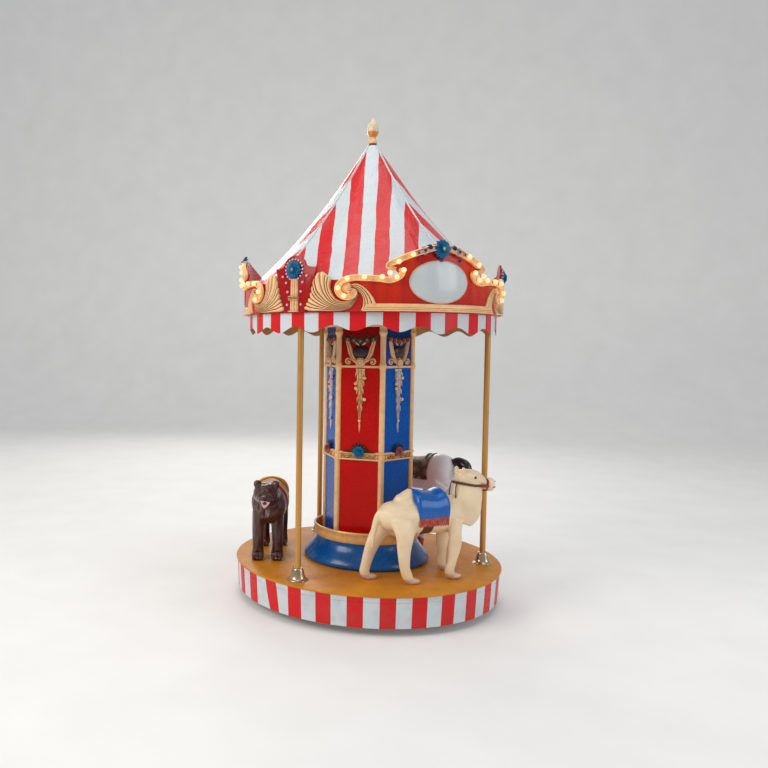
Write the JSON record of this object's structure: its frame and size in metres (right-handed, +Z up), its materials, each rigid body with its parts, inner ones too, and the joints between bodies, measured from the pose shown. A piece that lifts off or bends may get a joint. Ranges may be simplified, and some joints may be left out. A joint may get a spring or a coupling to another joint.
{
  "type": "small children's fairground carousel",
  "caption": "Small fairground carousel: a round deck with riding figures, a six-sided column, brass poles and a striped tent canopy with gilt crests, turning on a fixed base.",
  "frame": {"origin": "on the axis of turning, at the floor that the base frame's feet stand on", "axes": "+Z up the axis of turning, -Y towards the front crest and the camel, +X to the right seen from the front"},
  "size_m": [1.8, 1.8, 3.26],
  "materials": {
    "steel": "dark painted steel",
    "deck_paint": "ochre orange painted plywood, worn satin",
    "striped_vinyl": "glossy vinyl cloth in red and white stripes",
    "gold_paint": "pale gold paint, satin",
    "blue_paint": "gloss blue paint on moulded fibreglass",
    "red_paint": "gloss red paint on moulded fibreglass",
    "brass": "polished brass tube, a little dull",
    "bell_metal": "turned metal, polished",
    "white_panel": "white gloss panel",
    "camel_paint": "cream gloss paint on fibreglass",
    "bear_paint": "dark brown gloss paint on fibreglass",
    "horse_paint": "white gloss paint on fibreglass",
    "saddle_blue": "gloss blue paint on fibreglass",
    "saddle_red": "red gloss paint with gold edging",
    "bulb_glass": "round frosted lamp, warm and lit",
    "flower_blue": "turquoise blue gloss paint",
    "flower_red": "rose red gloss paint",
    "leaf_dark": "dark grey green gloss paint",
    "bead_white": "lilac white gloss beads",
    "lining_tan": "tan cloth lining",
    "tail_dark": "black gloss paint"
  },
  "bodies": {
    "base": {"base_frame": "steel", "pivot_post": "steel"},
    "carousel": {"bear_figure": "bear_paint", "bear_saddle": "saddle_red", "camel_figure": "camel_paint", "camel_saddle": "saddle_blue", "canopy_arms": "steel", "canopy_ring": "steel", "column_base": "blue_paint", "column_frame": "gold_paint", "column_mast": "steel", "column_panel_blue_1": "blue_paint", "column_panel_blue_2": "blue_paint", "column_panel_blue_3": "blue_paint", "column_panel_red_1": "red_paint", "column_panel_red_2": "red_paint", "column_panel_red_3": "red_paint", "column_plinth": "gold_paint", "crest_front_board": "red_paint", "crest_front_moulding": "gold_paint", "crest_front_plate": "white_panel", "crest_front_scroll": "gold_paint", "crest_left_board": "red_paint", "crest_left_moulding": "gold_paint", "crest_left_plate": "white_panel", "crest_left_scroll": "gold_paint", "crest_right_board": "red_paint", "crest_right_moulding": "gold_paint", "crest_right_plate": "white_panel", "crest_right_scroll": "gold_paint", "crown_panel_left": "red_paint", "crown_panel_rear": "red_paint", "crown_panel_right": "red_paint", "crown_ring": "red_paint", "deck": "deck_paint", "deck_skirt": "striped_vinyl", "finial": "gold_paint", "horse_figure": "horse_paint", "horse_saddle": "saddle_red", "pole_bell_left": "bell_metal", "pole_bell_rear": "bell_metal", "pole_bell_right": "bell_metal", "pole_left": "brass", "pole_rear": "brass", "pole_right": "brass", "tent_gore_front": "striped_vinyl", "tent_gore_left": "striped_vinyl", "tent_gore_rear": "striped_vinyl", "tent_gore_right": "striped_vinyl", "turntable_frame": "steel", "valance": "striped_vinyl"}
  },
  "joints": [
    {"name": "carousel_spin", "type": "hinge", "parent": "base", "child": "carousel", "pos_m": [0, 0, 0.15], "axis": [0, 0, 1], "continuous": true}
  ]
}
